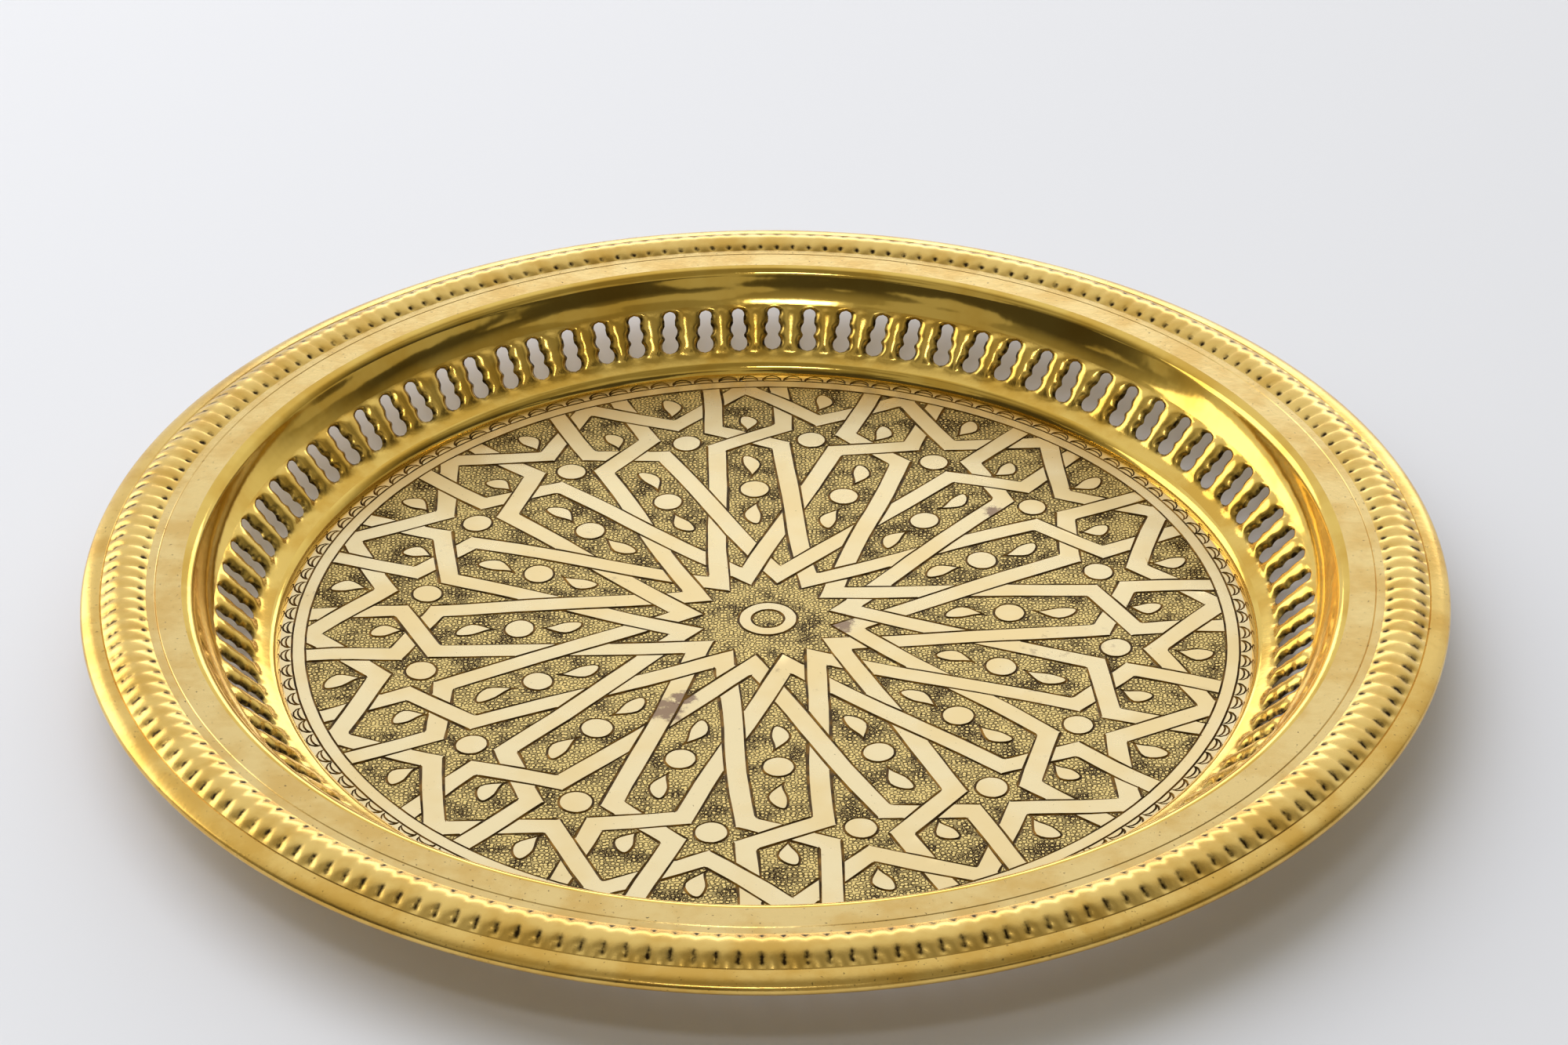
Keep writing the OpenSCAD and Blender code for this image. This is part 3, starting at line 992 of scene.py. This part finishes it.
# ---------------------------------------------------------------- the tray
def place(piece, node, slot, *finishes):
    """Fits a piece in place of its solid, with its finishes."""
    for finish in finishes:
        piece.data.materials.append(finish)
    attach(piece, "root")
    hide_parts(node)
    return piece


place(make_floor(), "engraved_floor", "engraved_brass", satin, cuts, punched, underside)
place(make_step(), "floor_step", "polished_brass", polished)
place(make_gallery(), "pierced_gallery", "pierced_brass", pierced)
place(make_cove(), "cove_wall", "polished_brass", polished)
place(make_flange(), "plain_flange", "flange_brass", flange_finish)
place(make_band(), "fluted_band", "fluted_brass", fluted)
place(make_edge(), "rolled_edge", "flange_brass", edge_finish)
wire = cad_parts["rim_wire"]
wire.data.materials.clear()
wire.data.materials.append(wire_finish)

# ---------------------------------------------------------------- table, light and camera
clear_selection()
bpy.ops.mesh.primitive_plane_add(size=12, location=(0, 0, 0))
table = bpy.context.object
table.name = "pale_table"
paper = bpy.data.materials.new("pale_matt_table")
paper.use_nodes = True
paper.node_tree.nodes["Principled BSDF"].inputs["Base Color"].default_value = linear("#E6E7EC")
paper.node_tree.nodes["Principled BSDF"].inputs["Roughness"].default_value = 0.75
table.data.materials.append(paper)

bpy.context.scene.view_settings.view_transform = "Standard"
world = bpy.data.worlds.new("pale_room")
bpy.context.scene.world = world
world.use_nodes = True
room = world.node_tree
facing = add(room, "ShaderNodeTexCoord")
split = add(room, "ShaderNodeSeparateXYZ", {0: (facing, 0)})
# A bright wall behind the table, a little brighter to the left, a ceiling of middling brightness, and a
# dim room with a few pale patches in front.
high = add(room, "ShaderNodeMath", {0: (split, 2), 1: 0.12, 2: (split, 1)}, operation="MULTIPLY_ADD")
high = add(room, "ShaderNodeMath", {0: (split, 0), 1: -0.14, 2: (high, 0)}, operation="MULTIPLY_ADD")
clutter = add(room, "ShaderNodeTexNoise", {"Vector": (facing, 0), "Scale": 2.2, "Detail": 2.0})
uneven = add(room, "ShaderNodeMath", {0: (clutter, 0), 1: 0.3, 2: (high, 0)}, operation="MULTIPLY_ADD")
wall = spread(room, (uneven, 0), 0.0, 0.85, 0.07, 1.0)
pale = add(room, "ShaderNodeTexNoise", {"Vector": (facing, 0), "Scale": 3.1, "Detail": 1.0})
patches = spread(room, (pale, 0), 0.53, 0.57, 0.0, 0.5)
ceiling = spread(room, (split, 2), 0.3, 0.7, 0.0, 0.34)
brightness = add(room, "ShaderNodeMath", {0: (wall, 0), 1: (patches, 0)}, operation="MAXIMUM")
brightness = add(room, "ShaderNodeMath", {0: (brightness, 0), 1: (ceiling, 0)}, operation="MAXIMUM")
shade = add(room, "ShaderNodeValToRGB", {0: (brightness, 0)})
stops = shade.color_ramp.elements
stops[0].color, stops[1].color = linear("#1E1C17"), linear("#F4F6FA")
for at, code in ((0.4, "#9C9680"), (0.75, "#E0DED6")):
    stops.new(at).color = linear(code)
room.links.new(shade.outputs[0], room.nodes["Background"].inputs["Color"])
room.nodes["Background"].inputs["Strength"].default_value = 0.95


def soft_light(name, place_at, aim, size, power, colour="#FFFFFF"):
    light = bpy.data.lights.new(name, "AREA")
    light.shape = "RECTANGLE"
    light.size, light.size_y = size
    light.energy = power
    light.color = linear(colour)[:3]
    lamp = bpy.data.objects.new(name, light)
    lamp.location = place_at
    lamp.rotation_euler = (Vector(aim) - Vector(place_at)).to_track_quat("-Z", "Y").to_euler()
    bpy.context.scene.collection.objects.link(lamp)
    return lamp


# The high softbox lights the table only: the metal doesn't mirror it.
soft_light("high_softbox", (-0.9, 0.7, 2.1), (0, 0, 0), (2.4, 2.4), 33, "#F3F6FF").visible_glossy = False
soft_light("low_window_back_left", (-1.9, 1.1, 0.9), (0, 0, 0.02), (1.8, 1.2), 13, "#FFFDF6")
soft_light("back_strip", (0.4, 2.6, 0.75), (0, 0, 0.02), (2.4, 0.7), 10)
soft_light("small_lamp_in_front", (-0.12, -0.86, 1.32), (0, 0, 0), (0.34, 0.14), 1.7)

lens = bpy.data.cameras.new("camera")
lens.lens = 80.36
lens.sensor_width = 36
camera = bpy.data.objects.new("camera", lens)
camera.location = (0, -0.86606, 0.5920)
camera.rotation_euler = (math.radians(57.27), 0, -0.0062)
bpy.context.scene.collection.objects.link(camera)
bpy.context.scene.camera = camera
